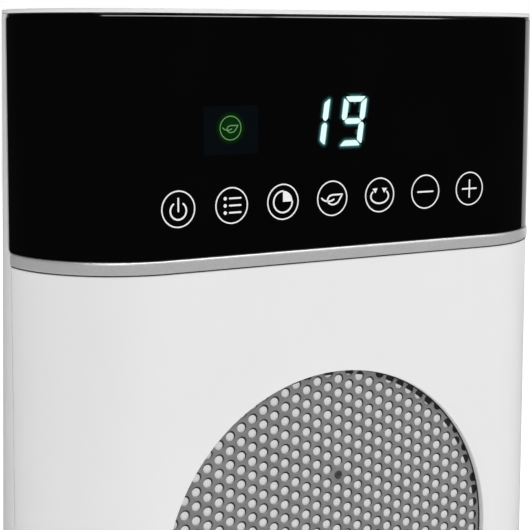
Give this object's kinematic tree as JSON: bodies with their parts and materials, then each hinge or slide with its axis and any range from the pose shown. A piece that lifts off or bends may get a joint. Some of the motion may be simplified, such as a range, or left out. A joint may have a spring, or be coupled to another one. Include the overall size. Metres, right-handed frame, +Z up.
{
  "type": "ceramic space heater",
  "caption": "Upright ceramic fan heater with a flat front, a wrap-round touch panel, a round perforated outlet and a round base that it swings on.",
  "frame": {"origin": "centre of the base's footprint on the surface that it stands on, which is also on the axis of the swing", "axes": "+Z up, the front with the panel and the outlet faces -Y, +X to the right as seen from the front"},
  "size_m": [0.1714, 0.156, 0.2576],
  "materials": {
    "white_casing": "fine satin moulded ABS",
    "gloss_black_panel": "polished black acrylic",
    "satin_silver": "satin silver paint",
    "perforated_steel": "matt grey punched sheet",
    "fine_mesh": "fine light wire cloth",
    "black_plastic": "matt",
    "heat_resistant_plastic": "matt, glass filled",
    "fan_plastic": "matt",
    "bare_aluminium": "bare rolled",
    "ceramic": "sintered, matt",
    "brass": "tinned",
    "bright_steel": "zinc plated",
    "zinc_steel": "galvanised",
    "circuit_board": "solder mask",
    "component_plastic": "moulded",
    "touch_foam": "conductive foam",
    "ribbon": "flexible insulation",
    "filter_mesh": "nylon mesh",
    "grey_nylon": "low-friction nylon",
    "rubber": "matt"
  },
  "bodies": {
    "base": {"base_cover": "white_casing", "base_plate": "black_plastic", "base_screws": "bright_steel", "rubber_feet": "rubber", "cord_gland": "black_plastic", "pivot_post": "grey_nylon", "sun_gear": "grey_nylon", "retaining_ring": "zinc_steel", "slide_ring": "grey_nylon", "tip_cage": "black_plastic", "tip_spring": "bright_steel", "tip_microswitch": "black_plastic"},
    "housing": {"front_shell": "white_casing", "rear_shell": "white_casing", "top_cap": "white_casing", "intake_grille": "white_casing", "grip_cup": "white_casing", "control_panel": "gloss_black_panel", "trim_strip": "satin_silver", "front_grille": "perforated_steel", "inner_screen": "fine_mesh", "grille_ring": "black_plastic", "switch_bezel": "black_plastic", "mains_terminals": "black_plastic", "display_module": "black_plastic", "indicator_light": "black_plastic", "heater_frame": "heat_resistant_plastic", "fan_shroud": "heat_resistant_plastic", "heating_fins": "bare_aluminium", "heating_tubes": "bare_aluminium", "ceramic_stones": "ceramic", "heater_terminals": "brass", "heater_screws": "bright_steel", "motor_screws": "bright_steel", "board_screws": "bright_steel", "shell_screws": "bright_steel", "floor_screws": "bright_steel", "bracket_screws": "bright_steel", "thermal_cutout": "bright_steel", "thermal_fuse": "bright_steel", "fan_motor": "zinc_steel", "motor_bracket": "zinc_steel", "swing_motor": "zinc_steel", "swing_bracket": "zinc_steel", "control_board": "circuit_board", "power_board": "circuit_board", "control_components": "component_plastic", "power_components": "component_plastic", "room_sensor": "component_plastic", "touch_pads": "touch_foam", "ribbon_cable": "ribbon", "dust_filter": "filter_mesh", "turntable": "grey_nylon"},
    "fan": {"fan_impeller": "fan_plastic", "fan_shaft": "bright_steel", "impeller_clip": "bright_steel"},
    "drive": {"drive_shaft": "bright_steel", "drive_pinion": "grey_nylon"},
    "rocker_key": {"rocker": "black_plastic"},
    "plunger": {"tip_plunger": "black_plastic"}
  },
  "joints": [
    {"name": "swing", "type": "hinge", "parent": "base", "child": "housing", "pos_m": [0, 0, 0.022], "axis": [0, 0, 1], "range_deg": [-35, 35]},
    {"name": "fan_spin", "type": "hinge", "parent": "housing", "child": "fan", "pos_m": [0, -0.01, 0.1039], "axis": [0, 1, 0], "continuous": true},
    {"name": "drive_spin", "type": "hinge", "parent": "housing", "child": "drive", "pos_m": [-0.03, 0, 0.0304], "axis": [0, 0, 1], "range_deg": [-140, 140]},
    {"name": "rocker_tilt", "type": "hinge", "parent": "housing", "child": "rocker_key", "pos_m": [0, 0.0546, 0.04], "axis": [1, 0, 0], "range_deg": [-18, 0]},
    {"name": "tip_drop", "type": "slide", "parent": "base", "child": "plunger", "axis": [0, 0, -1], "range_m": [0, 0.0026], "stiffness_N_per_m": 20, "springref_m": 0.01, "deforming": ["tip_spring"]}
  ],
  "couplings": [
    {"joint": "drive_spin", "follows": "swing", "ratio": 4}
  ]
}
